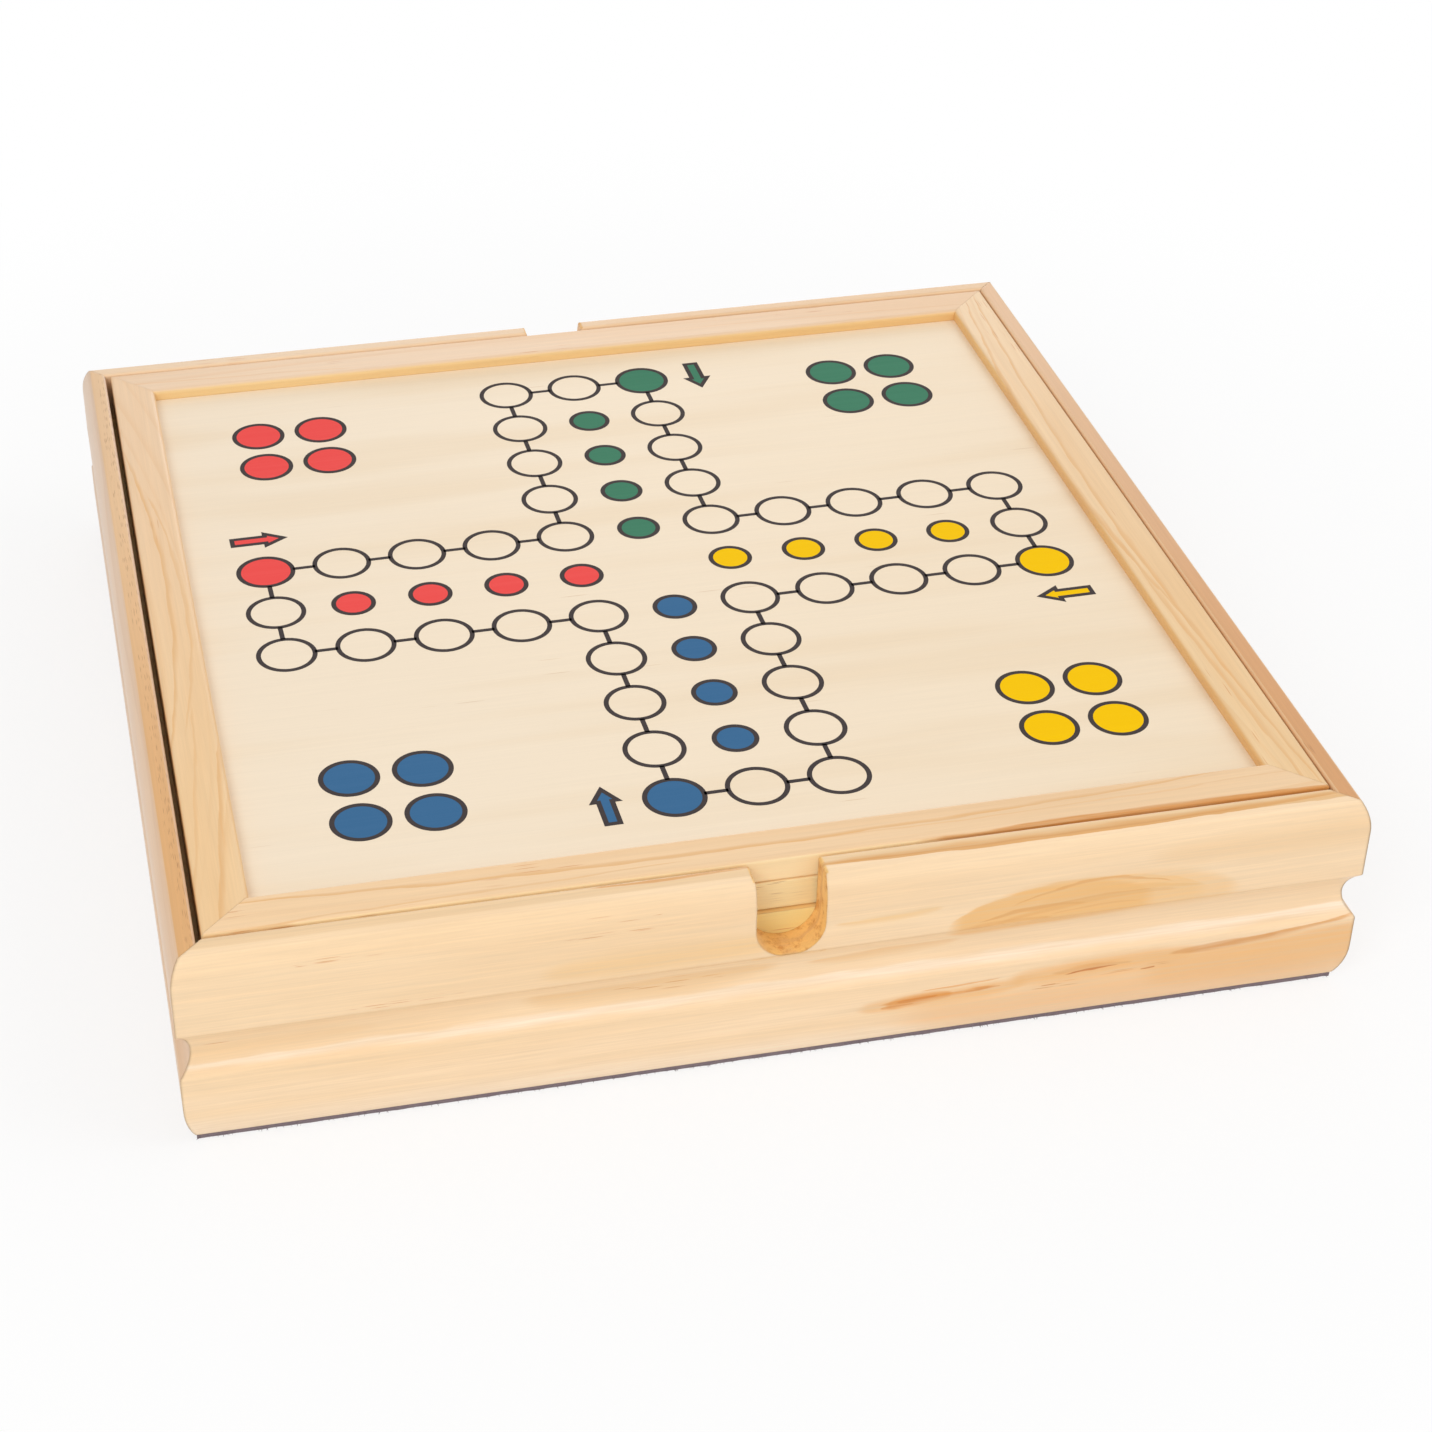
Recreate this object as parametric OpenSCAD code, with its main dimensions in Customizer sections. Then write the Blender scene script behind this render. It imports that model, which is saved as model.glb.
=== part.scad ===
// Wooden games box: a low square case of mitred moulding, closed by two framed boards
// that lie one on the other on an inner ledge. The upper board carries the ludo track.
// Under the boards a slotted divider makes six compartments for the pawns and dice.
// Origin: middle of the felt's underside. +X right, +Y to the back, +Z up, millimetres.

/* [Box] */
// Width of the box from left to right, over the moulding
box_w = 290; // [270:1:340]
// Depth of the box from front to back, over the moulding
box_d = 290; // [270:1:340]
// Height of the wooden walls
wall_h = 53.8; // [50:0.1:80]
// Thickness of the left and the right wall at their widest
wall_t = 7; // [6.8:0.1:12]
// Thickness of the front wall at its widest
front_wall_t = 8.8; // [7:0.1:12]
// Thickness of the back wall at its widest
back_wall_t = 6.6; // [6.4:0.1:12]
// Thickness of the base panel
base_t = 3; // [2:0.5:6]
// Thickness of the felt under the base
felt_t = 1.2; // [1:0.1:3]
// How far the felt stays back from the bottom edge of the walls
felt_inset = 0.7; // [0:0.1:10]

/* [Moulding] */
// How far the moulding swells out past its top and bottom edges
swell = 2.5; // [1.5:0.1:3.5]
// Height of the rounded shoulder under the top edge
shoulder_h = 8; // [5:0.5:10]
// Height of the rounded foot over the bottom edge
foot_h = 10.5; // [6:0.5:12]
// Height of the hollow's centre line over the bottom of the wall
cove_z = 26; // [22:0.5:28]
// Width of the hollow at its mouth
cove_w = 12.8; // [8:0.2:14]
// Depth of the hollow
cove_depth = 3.1; // [1.5:0.1:4]
// Radius of the edges beside the hollow
cove_edge_r = 1.2; // [0.4:0.1:2]
// Radius of the eased top and bottom edges
arris_r = 0.9; // [0.3:0.1:1.2]

/* [Finger notches] */
// Width of the notch in the front and the back wall
notch_w = 17; // [14:0.5:30]
// Depth of the notch below the top of the wall
notch_depth = 21.8; // [17:0.1:24]
// Radius of the notch's two upper corners
notch_corner_r = 0.8; // [0.5:0.1:3]

/* [Boards] */
// Thickness of the ludo board
ludo_t = 6.7; // [5.6:0.1:9]
// Thickness of the second board under it
second_t = 8.5; // [7:0.1:12]
// Play round the boards inside the walls
board_gap = 1; // [0.7:0.1:2]
// How far the boards lie off centre in their play, to the right
board_shift = 0.5; // [-0.6:0.1:0.6]
// Width of the frame round each board
rail_w = 12.2; // [8:0.2:20]
// Radius of the eased outer edges of each frame
rail_edge_r = 0.8; // [0.3:0.1:1.2]
// Radius of the rounded lip round each panel
rail_lip_r = 1.4; // [0.5:0.1:1.8]
// Thickness of the panels
panel_t = 3.5; // [2.5:0.1:3.5]
// How far each panel runs into the groove of its frame
panel_bite = 4; // [2:0.5:6]
// Play of each panel in the bottom of its groove
panel_gap = 0.3; // [0.1:0.1:1]

/* [Inside] */
// Thickness of the linings, whose top edges carry the boards
lining_t = 6; // [5:0.5:10]
// Thickness of the dividers
divider_t = 3; // [2:0.5:5]
// How far the dividers stay under the boards
divider_drop = 4; // [2:0.5:10]
// Distance of each cross divider from the middle of the box
divider_x = 44; // [30:1:60]
// Depth of the housings that hold the divider ends in the linings
housing_depth = 2; // [1:0.5:3]
// Clearance on each side of a divider in its housings and halving slots
slot_gap = 0.1; // [0.05:0.05:0.3]

/* [Pawns] */
// Height of a pawn
pawn_h = 27; // [22:0.5:30]
// Diameter of a pawn's foot
pawn_d = 12.6; // [10:0.2:15]
// Height of the rounded rim of the foot
pawn_rim_h = 2.6; // [1.6:0.2:4]
// Diameter of the cone where it meets the foot
pawn_cone_d = 10; // [7:0.2:10]
// Diameter of the neck
pawn_neck_d = 4.6; // [3.4:0.2:6]
// Diameter of the head
pawn_head_d = 9; // [7.4:0.2:10]
// How far the cone's side is drawn in
pawn_waist = 0.7; // [0.2:0.1:1.2]
// Distance between the pawns that stand together
pawn_pitch = 19; // [17:0.5:24]
// Distance from the pawns to the linings
pawn_margin = 9; // [2:0.5:14]

/* [Dice] */
// Size of a die across its flats
die_size = 14; // [10:0.5:18]
// Diameter of the ball that rounds a die's corners, as a share of its size
die_round = 1.44; // [1.4:0.01:1.5]
// Diameter of a pip
pip_d = 2.6; // [1.6:0.1:2.8]
// Depth of a pip
pip_depth = 0.6; // [0.3:0.1:0.8]
// Distance between two pips
pip_pitch = 3.6; // [2.8:0.1:4]

/* [Hidden] */
$fn = 96;

// Colours of the woods, the felt and the pieces
wall_colour = [0.93, 0.76, 0.52];
rail_colour = [0.91, 0.74, 0.50];
panel_colour = [0.95, 0.88, 0.76];
ply_colour = [0.90, 0.78, 0.58];
felt_colour = [0.25, 0.22, 0.25];
die_colour = [0.96, 0.94, 0.88];

// Heights, from the ground up
base_z = felt_t;
floor_z = base_z + base_t;
top_z = base_z + wall_h;
ludo_z = top_z - ludo_t;
second_z = ludo_z - second_t;
ledge_z = second_z;
divider_h = ledge_z - divider_drop - floor_z;

// Half widths in X and half depths in Y, from the outside in
half_w = box_w / 2;
half_d = box_d / 2;
bay_w = half_w - wall_t;
bay_d = half_d - (front_wall_t + back_wall_t) / 2;
bay_y = (front_wall_t - back_wall_t) / 2;
board_w = bay_w - board_gap;
board_d = bay_d - board_gap;
room_w = bay_w - lining_t;
room_d = bay_d - lining_t;

// The groove in each frame: open below on the ludo board, in the middle on the second
ludo_groove_z = 0;
second_groove_z = (second_t - panel_t) / 2;
panel_w = board_w - rail_w + panel_bite - panel_gap;
panel_d = board_d - rail_w + panel_bite - panel_gap;

// Radius of an arc from the chord it spans and its height over that chord
function arc_r(chord, rise) = (chord * chord / 4 + rise * rise) / (2 * rise);

shoulder_r = arc_r(2 * shoulder_h, swell);
foot_r = arc_r(2 * foot_h, swell);
cove_r = arc_r(cove_w, cove_depth);

eps = 0.5;

// Removes the sharp corner outside a small circle that touches both faces beside it.
// c is the circle's centre, and n1 and n2 point from it to the two touching points.
module ease(c, n1, n2, r) {
    reach = r + eps;
    corner = (n1 + n2) / norm(n1 + n2) * reach * 2;
    difference() {
        polygon([c, c + n1 * reach, c + corner, c + n2 * reach]);
        translate(c) circle(r);
    }
}

// Eases the top edge of a face that curves out and down from it with radius big_r.
// x is the face's widest point and drop the height of the curved stretch.
module ease_round_edge(x, drop, big_r, r) {
    c = [x - big_r + sqrt(pow(big_r - r, 2) - pow(drop - r, 2)), -r];
    to_touch = c - [x - big_r, -drop];
    ease(c, [0, 1], to_touch / norm(to_touch), r);
}

// Eases one edge of the hollow, which is centred on the origin's height.
// x is the flat face beside it.
module ease_cove_edge(x, r) {
    cove_c = x - cove_depth + cove_r;
    rise = sqrt(pow(cove_r + r, 2) - pow(cove_c - x + r, 2));
    c = [x - r, rise];
    to_touch = [cove_c, 0] - c;
    ease(c, [1, 0], to_touch / norm(to_touch), r);
}

// Section of the moulded wall, outwards along X and upwards from its bottom edge.
// face is the outermost face's distance from the middle of the box, and thick the wall's
// thickness there.
module wall_section(face, thick) {
    inner = face - thick;
    difference() {
        translate([inner, 0]) square([thick, wall_h]);
        difference() {
            translate([face - swell, wall_h - shoulder_h]) square([swell + 1, shoulder_h + 1]);
            translate([face - shoulder_r, wall_h - shoulder_h]) circle(shoulder_r, $fn = 180);
        }
        difference() {
            translate([face - swell, -1]) square([swell + 1, foot_h + 1]);
            translate([face - foot_r, foot_h]) circle(foot_r, $fn = 180);
        }
        translate([face - cove_depth + cove_r, cove_z]) circle(cove_r);
        translate([0, wall_h]) ease_round_edge(face, shoulder_h, shoulder_r, arris_r);
        mirror([0, 1]) ease_round_edge(face, foot_h, foot_r, arris_r);
        translate([0, cove_z]) ease_cove_edge(face, cove_edge_r);
        translate([0, cove_z]) mirror([0, 1]) ease_cove_edge(face, cove_edge_r);
        ease([inner + arris_r, wall_h - arris_r], [-1, 0], [0, 1], arris_r);
    }
}

// A straight bar with its outer face at distance a from the middle, mitred at 45 degrees
// to a half length of b at that face. Its section is drawn outwards along X.
module mitred_bar(a, b) {
    inside = 40;
    outside = 1;
    intersection() {
        rotate([90, 0, 0]) linear_extrude(2 * b + 4, center = true) children();
        linear_extrude(top_z + 10)
            polygon([
                [a - inside, inside - b], [a + outside, -b - outside],
                [a + outside, b + outside], [a - inside, b - inside]
            ]);
    }
}

// Outline of a finger notch, drawn across the wall with its mouth at the origin
module notch_outline() {
    r = notch_w / 2;
    mouth = r + notch_corner_r;
    translate([0, r - notch_depth]) circle(r);
    translate([-r, r - notch_depth]) square([notch_w, notch_depth - r + 1]);
    difference() {
        translate([-mouth, -notch_corner_r]) square([2 * mouth, notch_corner_r + 1]);
        for (side = [-1, 1])
            translate([side * mouth, -notch_corner_r]) circle(notch_corner_r);
    }
}

module side_wall(a, b, thick) {
    color(wall_colour)
        mitred_bar(a, b)
            translate([0, base_z]) wall_section(a, thick);
}

module notched_wall(a, b, thick) {
    color(wall_colour)
        difference() {
            side_wall(a, b, thick);
            translate([a - thick - 1, 0, top_z])
                rotate([90, 0, 90]) linear_extrude(thick + 3) notch_outline();
        }
}

module front_wall() { rotate([0, 0, -90]) notched_wall(half_d, half_w, front_wall_t); }
module back_wall() { rotate([0, 0, 90]) notched_wall(half_d, half_w, back_wall_t); }
module left_wall() { rotate([0, 0, 180]) side_wall(half_w, half_d, wall_t); }
module right_wall() { side_wall(half_w, half_d, wall_t); }

// The opening between the walls lies off centre, because the front wall is the thickest
module in_bay() { translate([0, bay_y, 0]) children(); }

// One housing, cut down from a lining's top edge into its inner face at y = 0
module housing() {
    w = divider_t + 2 * slot_gap;
    translate([-w / 2, -1, floor_z - 1]) cube([w, housing_depth + slot_gap + 1, top_z]);
}

// A lining lies along X with its inner face at y = 0 and the divider ends at the marks
module lining(half_len, marks) {
    color(ply_colour)
        difference() {
            translate([-half_len, 0, floor_z]) cube([2 * half_len, lining_t, ledge_z - floor_z]);
            for (x = marks) translate([x, 0, 0]) housing();
        }
}

module long_lining() { translate([0, room_d, 0]) lining(bay_w, [-divider_x, divider_x]); }
module short_lining() { translate([room_w, 0, 0]) rotate([0, 0, -90]) lining(room_d, [0]); }

module front_lining() { in_bay() mirror([0, 1, 0]) long_lining(); }
module back_lining() { in_bay() long_lining(); }
module left_lining() { in_bay() mirror([1, 0, 0]) short_lining(); }
module right_lining() { in_bay() short_lining(); }

module base_panel() {
    color(ply_colour)
        in_bay()
            translate([-bay_w, -bay_d, base_z]) cube([2 * bay_w, 2 * bay_d, base_t]);
}

module felt_pad() {
    half_x = half_w - swell - felt_inset;
    half_y = half_d - swell - felt_inset;
    color(felt_colour)
        translate([-half_x, -half_y, 0]) cube([2 * half_x, 2 * half_y, felt_t]);
}

// A divider stands along X, with a halving slot at each mark, open at the top or bottom
module divider(half_len, marks, open_top) {
    slot_w = divider_t + 2 * slot_gap;
    slot_h = divider_h / 2 + slot_gap;
    slot_z = open_top ? divider_h - slot_h : -1;
    color(ply_colour)
        translate([0, 0, floor_z])
            difference() {
                translate([-half_len, -divider_t / 2, 0]) cube([2 * half_len, divider_t, divider_h]);
                for (x = marks)
                    translate([x - slot_w / 2, -divider_t, slot_z])
                        cube([slot_w, 2 * divider_t, slot_h + 1]);
            }
}

module long_divider() {
    in_bay() divider(room_w + housing_depth, [-divider_x, divider_x], true);
}

module cross_divider(x) {
    in_bay()
        translate([x, 0, 0]) rotate([0, 0, 90]) divider(room_d + housing_depth, [0], false);
}

module left_cross_divider() { cross_divider(-divider_x); }
module right_cross_divider() { cross_divider(divider_x); }

// Half section of a pawn's foot and cone; the cone's side is drawn in by a large arc
module pawn_section() {
    rim_r = pawn_rim_h / 2;
    low = [pawn_cone_d / 2, pawn_rim_h];
    high = [pawn_neck_d / 2, pawn_h - pawn_head_d / 2];
    chord = high - low;
    waist_r = arc_r(norm(chord), pawn_waist);
    side = [chord[1], -chord[0]] / norm(chord);
    square([pawn_d / 2 - rim_r, pawn_rim_h]);
    translate([pawn_d / 2 - rim_r, rim_r]) circle(rim_r, $fn = 32);
    difference() {
        polygon([[0, rim_r], [low[0], rim_r], low, high, [0, high[1]]]);
        translate((low + high) / 2 + side * (waist_r - pawn_waist)) circle(waist_r, $fn = 180);
    }
}

module pawn() {
    rotate_extrude() pawn_section();
    translate([0, 0, pawn_h - pawn_head_d / 2]) sphere(d = pawn_head_d);
}

// Four pawns stand in the outer corner of their compartment, side_x and side_y away
module pawns(side_x, side_y) {
    inset = pawn_margin + pawn_d / 2;
    in_bay()
        for (i = [0, 1], j = [0, 1])
            translate([
                side_x * (room_w - inset - i * pawn_pitch),
                side_y * (room_d - inset - j * pawn_pitch),
                floor_z
            ]) pawn();
}

module red_pawns() { color([0.85, 0.24, 0.24]) pawns(-1, 1); }
module green_pawns() { color([0.20, 0.48, 0.34]) pawns(1, 1); }
module yellow_pawns() { color([0.95, 0.76, 0.05]) pawns(1, -1); }
module blue_pawns() { color([0.22, 0.40, 0.58]) pawns(-1, -1); }

// The places of the pips on a face with the given count, in steps of one pip pitch
function pip_places(count) = [
    for (p = [
        [[-1, -1], count > 1], [[1, 1], count > 1],
        [[-1, 1], count > 3], [[1, -1], count > 3],
        [[-1, 0], count == 6], [[1, 0], count == 6],
        [[0, 0], count % 2 == 1]
    ]) if (p[1]) p[0]
];

// Cuts the pips of one face; the face looks along +Z
module pips(count) {
    pip_r = arc_r(pip_d, pip_depth);
    for (p = pip_places(count))
        translate([p[0] * pip_pitch, p[1] * pip_pitch, die_size / 2 - pip_depth + pip_r])
            sphere(pip_r, $fn = 24);
}

// A die with rounded corners; opposite faces add up to seven
module die() {
    difference() {
        intersection() {
            cube(die_size, center = true);
            sphere(d = die_size * die_round);
        }
        pips(1);
        rotate([180, 0, 0]) pips(6);
        rotate([90, 0, 0]) pips(2);
        rotate([-90, 0, 0]) pips(5);
        rotate([0, 90, 0]) pips(3);
        rotate([0, -90, 0]) pips(4);
    }
}

// Two dice lie in the middle of the front compartment, thrown at two angles
module dice() {
    color(die_colour)
        translate([0, bay_y - room_d / 2, floor_z + die_size / 2]) {
            translate([-die_size, die_size / 3, 0]) rotate([0, 0, 24]) die();
            translate([die_size, -die_size / 2, 0]) rotate([0, 0, -13]) rotate([90, 0, 0]) die();
        }
}

// Section of a board's frame, drawn outwards along X to its outer face
module rail_section(face, thick, groove_z) {
    inner = face - rail_w;
    difference() {
        translate([inner, 0]) square([rail_w, thick]);
        translate([inner - 1, groove_z]) square([panel_bite + 1, panel_t]);
        if (groove_z == 0) translate([inner - 1, -1]) square([panel_bite + 1, 2]);
        ease([face - rail_edge_r, thick - rail_edge_r], [0, 1], [1, 0], rail_edge_r);
        ease([face - rail_edge_r, rail_edge_r], [1, 0], [0, -1], rail_edge_r);
        ease([inner + rail_lip_r, thick - rail_lip_r], [-1, 0], [0, 1], rail_lip_r);
        if (groove_z > 0)
            ease([inner + rail_lip_r, rail_lip_r], [0, -1], [-1, 0], rail_lip_r);
    }
}

// One side of a frame: a is its outer face's distance from the middle, b its half length
module rail(turn, a, b, z, thick, groove_z) {
    color(rail_colour)
        translate([board_shift, bay_y, 0])
            rotate([0, 0, turn])
                mitred_bar(a, b)
                    translate([0, z]) rail_section(a, thick, groove_z);
}

module ludo_rail(turn, a, b) { rail(turn, a, b, ludo_z, ludo_t, ludo_groove_z); }
module second_rail(turn, a, b) { rail(turn, a, b, second_z, second_t, second_groove_z); }

module panel(z) {
    color(panel_colour)
        translate([board_shift - panel_w, bay_y - panel_d, z])
            cube([2 * panel_w, 2 * panel_d, panel_t]);
}

module second_front_rail() { second_rail(-90, board_d, board_w); }
module second_back_rail() { second_rail(90, board_d, board_w); }
module second_left_rail() { second_rail(180, board_w, board_d); }
module second_right_rail() { second_rail(0, board_w, board_d); }
module second_panel() { panel(second_z + second_groove_z); }

module ludo_front_rail() { ludo_rail(-90, board_d, board_w); }
module ludo_back_rail() { ludo_rail(90, board_d, board_w); }
module ludo_left_rail() { ludo_rail(180, board_w, board_d); }
module ludo_right_rail() { ludo_rail(0, board_w, board_d); }
module ludo_panel() { panel(ludo_z + ludo_groove_z); }

front_wall();
back_wall();
left_wall();
right_wall();
front_lining();
back_lining();
left_lining();
right_lining();
base_panel();
felt_pad();
long_divider();
left_cross_divider();
right_cross_divider();
red_pawns();
green_pawns();
yellow_pawns();
blue_pawns();
dice();
second_front_rail();
second_back_rail();
second_left_rail();
second_right_rail();
second_panel();
ludo_front_rail();
ludo_back_rail();
ludo_left_rail();
ludo_right_rail();
ludo_panel();
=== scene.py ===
# %% [markdown]
# # A wooden ludo box
# The box is a low pine case with two framed boards lying in its mouth. The construction comes
# ready made as a fixed frame, so this lesson is about finishes: how to make pine look like pine
# from every side, how to print a playing track, and how to light pale wood without bleaching it.
# The first cell loads the frame.

# %% Load the fixed frame
import math
import random

import bmesh
import bpy
from mathutils import Matrix, Vector


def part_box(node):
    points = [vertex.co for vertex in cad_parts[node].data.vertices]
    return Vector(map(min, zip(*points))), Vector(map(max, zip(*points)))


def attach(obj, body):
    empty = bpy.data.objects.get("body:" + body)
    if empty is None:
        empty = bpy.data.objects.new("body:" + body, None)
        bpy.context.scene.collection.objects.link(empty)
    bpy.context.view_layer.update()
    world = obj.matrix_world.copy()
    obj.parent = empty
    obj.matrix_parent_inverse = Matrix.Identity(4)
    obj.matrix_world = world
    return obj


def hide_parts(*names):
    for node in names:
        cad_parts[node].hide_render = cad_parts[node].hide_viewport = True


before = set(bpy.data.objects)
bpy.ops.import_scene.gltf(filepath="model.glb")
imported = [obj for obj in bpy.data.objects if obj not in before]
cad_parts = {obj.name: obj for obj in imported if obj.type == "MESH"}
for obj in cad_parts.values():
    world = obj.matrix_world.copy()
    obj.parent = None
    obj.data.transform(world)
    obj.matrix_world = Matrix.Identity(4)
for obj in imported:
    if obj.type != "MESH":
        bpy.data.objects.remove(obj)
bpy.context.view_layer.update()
MM = 0.001

# %% [markdown]
# ## The camera
# A product picture is usually shot with a long lens, which keeps the sides nearly parallel. This
# one looks down at 35 degrees and a little from the left. The picture was cropped off centre
# after it was taken, and a lens shift does the same without turning the camera.

# %% Camera
EYE = Vector((-0.1565, -0.6640, 0.4773))
LOOK_DOWN = math.radians(34.77)
LOOK_RIGHT = math.radians(12.12)
LENS_MM = 74.1
SHIFT_X = 0.0782

camera_data = bpy.data.cameras.new("camera")
camera_data.lens = LENS_MM
camera_data.sensor_width = 36.0
camera_data.shift_x = SHIFT_X
camera_data.clip_start = 0.01
camera = bpy.data.objects.new("camera", camera_data)
camera.location = EYE
camera.rotation_euler = (math.pi / 2 - LOOK_DOWN, 0.0, -LOOK_RIGHT)
bpy.context.scene.collection.objects.link(camera)
bpy.context.scene.camera = camera
print("camera is", round(EYE.length, 3), "m from the middle of the box's foot")

# %% [markdown]
# ## A short way to write shader graphs
# A material is a graph of nodes. Clicking one together by hand is pleasant, but in a script each
# node takes several lines. The class below keeps the graphs readable: `add` makes a node and
# fills its sockets with values or with other nodes' outputs, and the rest do the commonest
# nodes in one line each. Colours are written as a picture program gives them, from 0 to 255,
# and turned to linear light, which is what shaders count in.

# %% Graph helper
def tone(red, green, blue):
    """A colour given from 0 to 255, turned to linear light."""
    linear = [(c / 255 / 12.92) if c <= 10 else ((c / 255 + 0.055) / 1.055) ** 2.4
              for c in (red, green, blue)]
    return (*linear, 1.0)


class Graph:
    """The node tree of a material or a group, with short ways to add to it."""

    def __init__(self, tree):
        self.tree = tree

    def wire(self, node, sockets):
        """Fills a node's inputs; each takes a value, a colour or another node's output."""
        for key, value in sockets.items():
            socket = node.inputs[key]
            if isinstance(value, bpy.types.NodeSocket):
                self.tree.links.new(value, socket)
            elif socket.type == "RGBA" and len(value) == 3:
                socket.default_value = tone(*value)
            else:
                socket.default_value = value
        return node

    def add(self, kind, sockets=None, **settings):
        """A new node of that kind, with its settings and its inputs."""
        node = self.tree.nodes.new("ShaderNode" + kind)
        for key, value in settings.items():
            setattr(node, key, value)
        return self.wire(node, sockets or {})

    def use(self, group, **sockets):
        """The outputs of a copy of a group; underscores in the names stand for spaces."""
        named = {key.replace("_", " "): value for key, value in sockets.items()}
        return self.wire(self.add("Group", node_tree=group), named).outputs

    def sum(self, operation, *terms):
        """One Math node."""
        return self.add("Math", dict(enumerate(terms)), operation=operation).outputs[0]

    def product(self, first, *others):
        """All the terms multiplied."""
        for other in others:
            first = self.sum("MULTIPLY", first, other)
        return first

    def vector(self, operation, *terms):
        """One Vector Math node."""
        return self.add("VectorMath", dict(enumerate(terms)), operation=operation).outputs[0]

    def part(self, vector, axis):
        """One coordinate of a vector: axis 0 is X, 1 is Y and 2 is Z."""
        return self.add("SeparateXYZ", {0: vector}).outputs[axis]

    def blend(self, share, low, high, mode="MIX"):
        """One Mix Color node; share 0 gives low and share 1 gives high."""
        sockets = {0: share, 6: low, 7: high}
        return self.add("Mix", sockets, data_type="RGBA", blend_type=mode).outputs[2]

    def ramp(self, value, low, high):
        """A smooth step that rises from 0 to 1 as value goes from low to high."""
        sockets = {"Value": value, "From Min": low, "From Max": high}
        return self.add("MapRange", sockets, interpolation_type="SMOOTHSTEP").outputs["Result"]

    def noise(self, vector, scale, detail=2.0, roughness=0.5):
        """The grey of one Noise Texture node."""
        sockets = {"Vector": vector, "Scale": scale, "Detail": detail, "Roughness": roughness}
        return self.add("TexNoise", sockets).outputs["Fac"]

    def bump(self, height, strength, distance, **more):
        """The normal that one Bump node gives."""
        sockets = {"Height": height, "Strength": strength, "Distance": distance, **more}
        return self.add("Bump", sockets).outputs[0]

    def place(self):
        """The point on the surface, in the box's own frame."""
        return self.add("TexCoord").outputs["Object"]

    def normal(self):
        """The way the surface faces."""
        return self.add("NewGeometry").outputs["Normal"]


print("graph helper ready, mid grey is", round(tone(128, 128, 128)[0], 3), "in linear light")

# %% [markdown]
# ## Materials and groups
# An effect that several materials share is worth a node group. It is built once, has named
# inputs, and each material takes a copy with its own values.

# %% Material and group helpers
def new_material(name):
    """A new material, its graph and its Principled shader."""
    material = bpy.data.materials.new(name)
    material.use_nodes = True
    tree = material.node_tree
    return material, Graph(tree), tree.nodes["Principled BSDF"]


def new_group(name, build, inputs, outputs=("Mask",)):
    """A node group; build gets its graph and its inputs, and returns its outputs by name."""
    tree = bpy.data.node_groups.new(name, "ShaderNodeTree")
    for label, start in {"Vector": (0.0, 0.0, 0.0), **inputs}.items():
        kind = "NodeSocketVector" if isinstance(start, tuple) else "NodeSocketFloat"
        tree.interface.new_socket(label, in_out="INPUT", socket_type=kind).default_value = start
    for label in outputs:
        kind = "NodeSocketVector" if label == "Normal" else "NodeSocketFloat"
        tree.interface.new_socket(label, in_out="OUTPUT", socket_type=kind)
    graph = Graph(tree)
    made = build(graph, tree.nodes.new("NodeGroupInput").outputs)
    graph.wire(tree.nodes.new("NodeGroupOutput"), made)
    print(name, "nodes:", len(tree.nodes))
    return tree


print("material and group helpers ready")

# %% [markdown]
# ## Growth rings
# Pine is laid down one ring a year: pale, soft early wood that darkens slowly and ends in a
# thin amber line of late wood. A board is a slice through those rings, so the figure on its
# face, its edge and its end all come from one solid pattern. The group takes a point with X
# along the grain, measures its distance from the heart of the tree, bends that a little with
# noise and with the bow of the trunk, and cuts it into years. The tree number moves the noise,
# so that no two boards match.

# %% Shader group: growth rings
SWAY_STRETCH = (8.0, 30.0, 30.0)


def moved_along(g, vector, distance, stretch):
    """The point moved along the grain by that distance, and stretched for a texture."""
    shift = g.add("CombineXYZ", {0: distance}).outputs[0]
    return g.vector("MULTIPLY", g.vector("ADD", vector, shift), stretch)


def build_rings(g, given):
    """The late wood of each year, found by the distance from the heart of the tree."""
    along = moved_along(g, given["Vector"], given["Tree"], SWAY_STRETCH)
    sway = g.add("TexNoise", {"Vector": along, "Scale": 1.0, "Detail": 3.0}).outputs["Color"]
    sway = g.vector("SUBTRACT", sway, (0.5, 0.5, 0.5))
    sway = g.add("VectorMath", {0: sway, "Scale": given["Wander"]}, operation="SCALE")
    bent = g.vector("ADD", given["Vector"], sway.outputs[0])
    spot = g.add("SeparateXYZ", {0: bent}).outputs
    reach_x = g.sum("SUBTRACT", spot[0], given["Bow Middle"])
    bow = g.product(reach_x, reach_x, given["Bow"])
    across = g.sum("SUBTRACT", g.sum("SUBTRACT", spot[1], bow), given["Heart Y"])
    up = g.sum("SUBTRACT", spot[2], given["Heart Z"])
    squares = g.sum("ADD", g.product(across, across), g.product(up, up))
    years = g.sum("DIVIDE", g.sum("SQRT", squares), given["Ring Width"])
    slip = g.add("TexNoise", {"W": years, "Scale": 0.37, "Detail": 1.0},
                 noise_dimensions="1D").outputs["Fac"]
    years = g.sum("ADD", years, slip)
    part = g.sum("FRACT", years)
    rise = g.sum("POWER", g.ramp(part, 0.30, 0.93), 2.2)
    fall = g.ramp(part, 1.0, 0.94)
    luck = g.add("TexWhiteNoise", {"W": g.sum("FLOOR", years)}, noise_dimensions="1D")
    depth = g.ramp(luck.outputs["Value"], -0.3, 0.9)
    return {"Late Wood": g.product(rise, fall, depth)}


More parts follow.
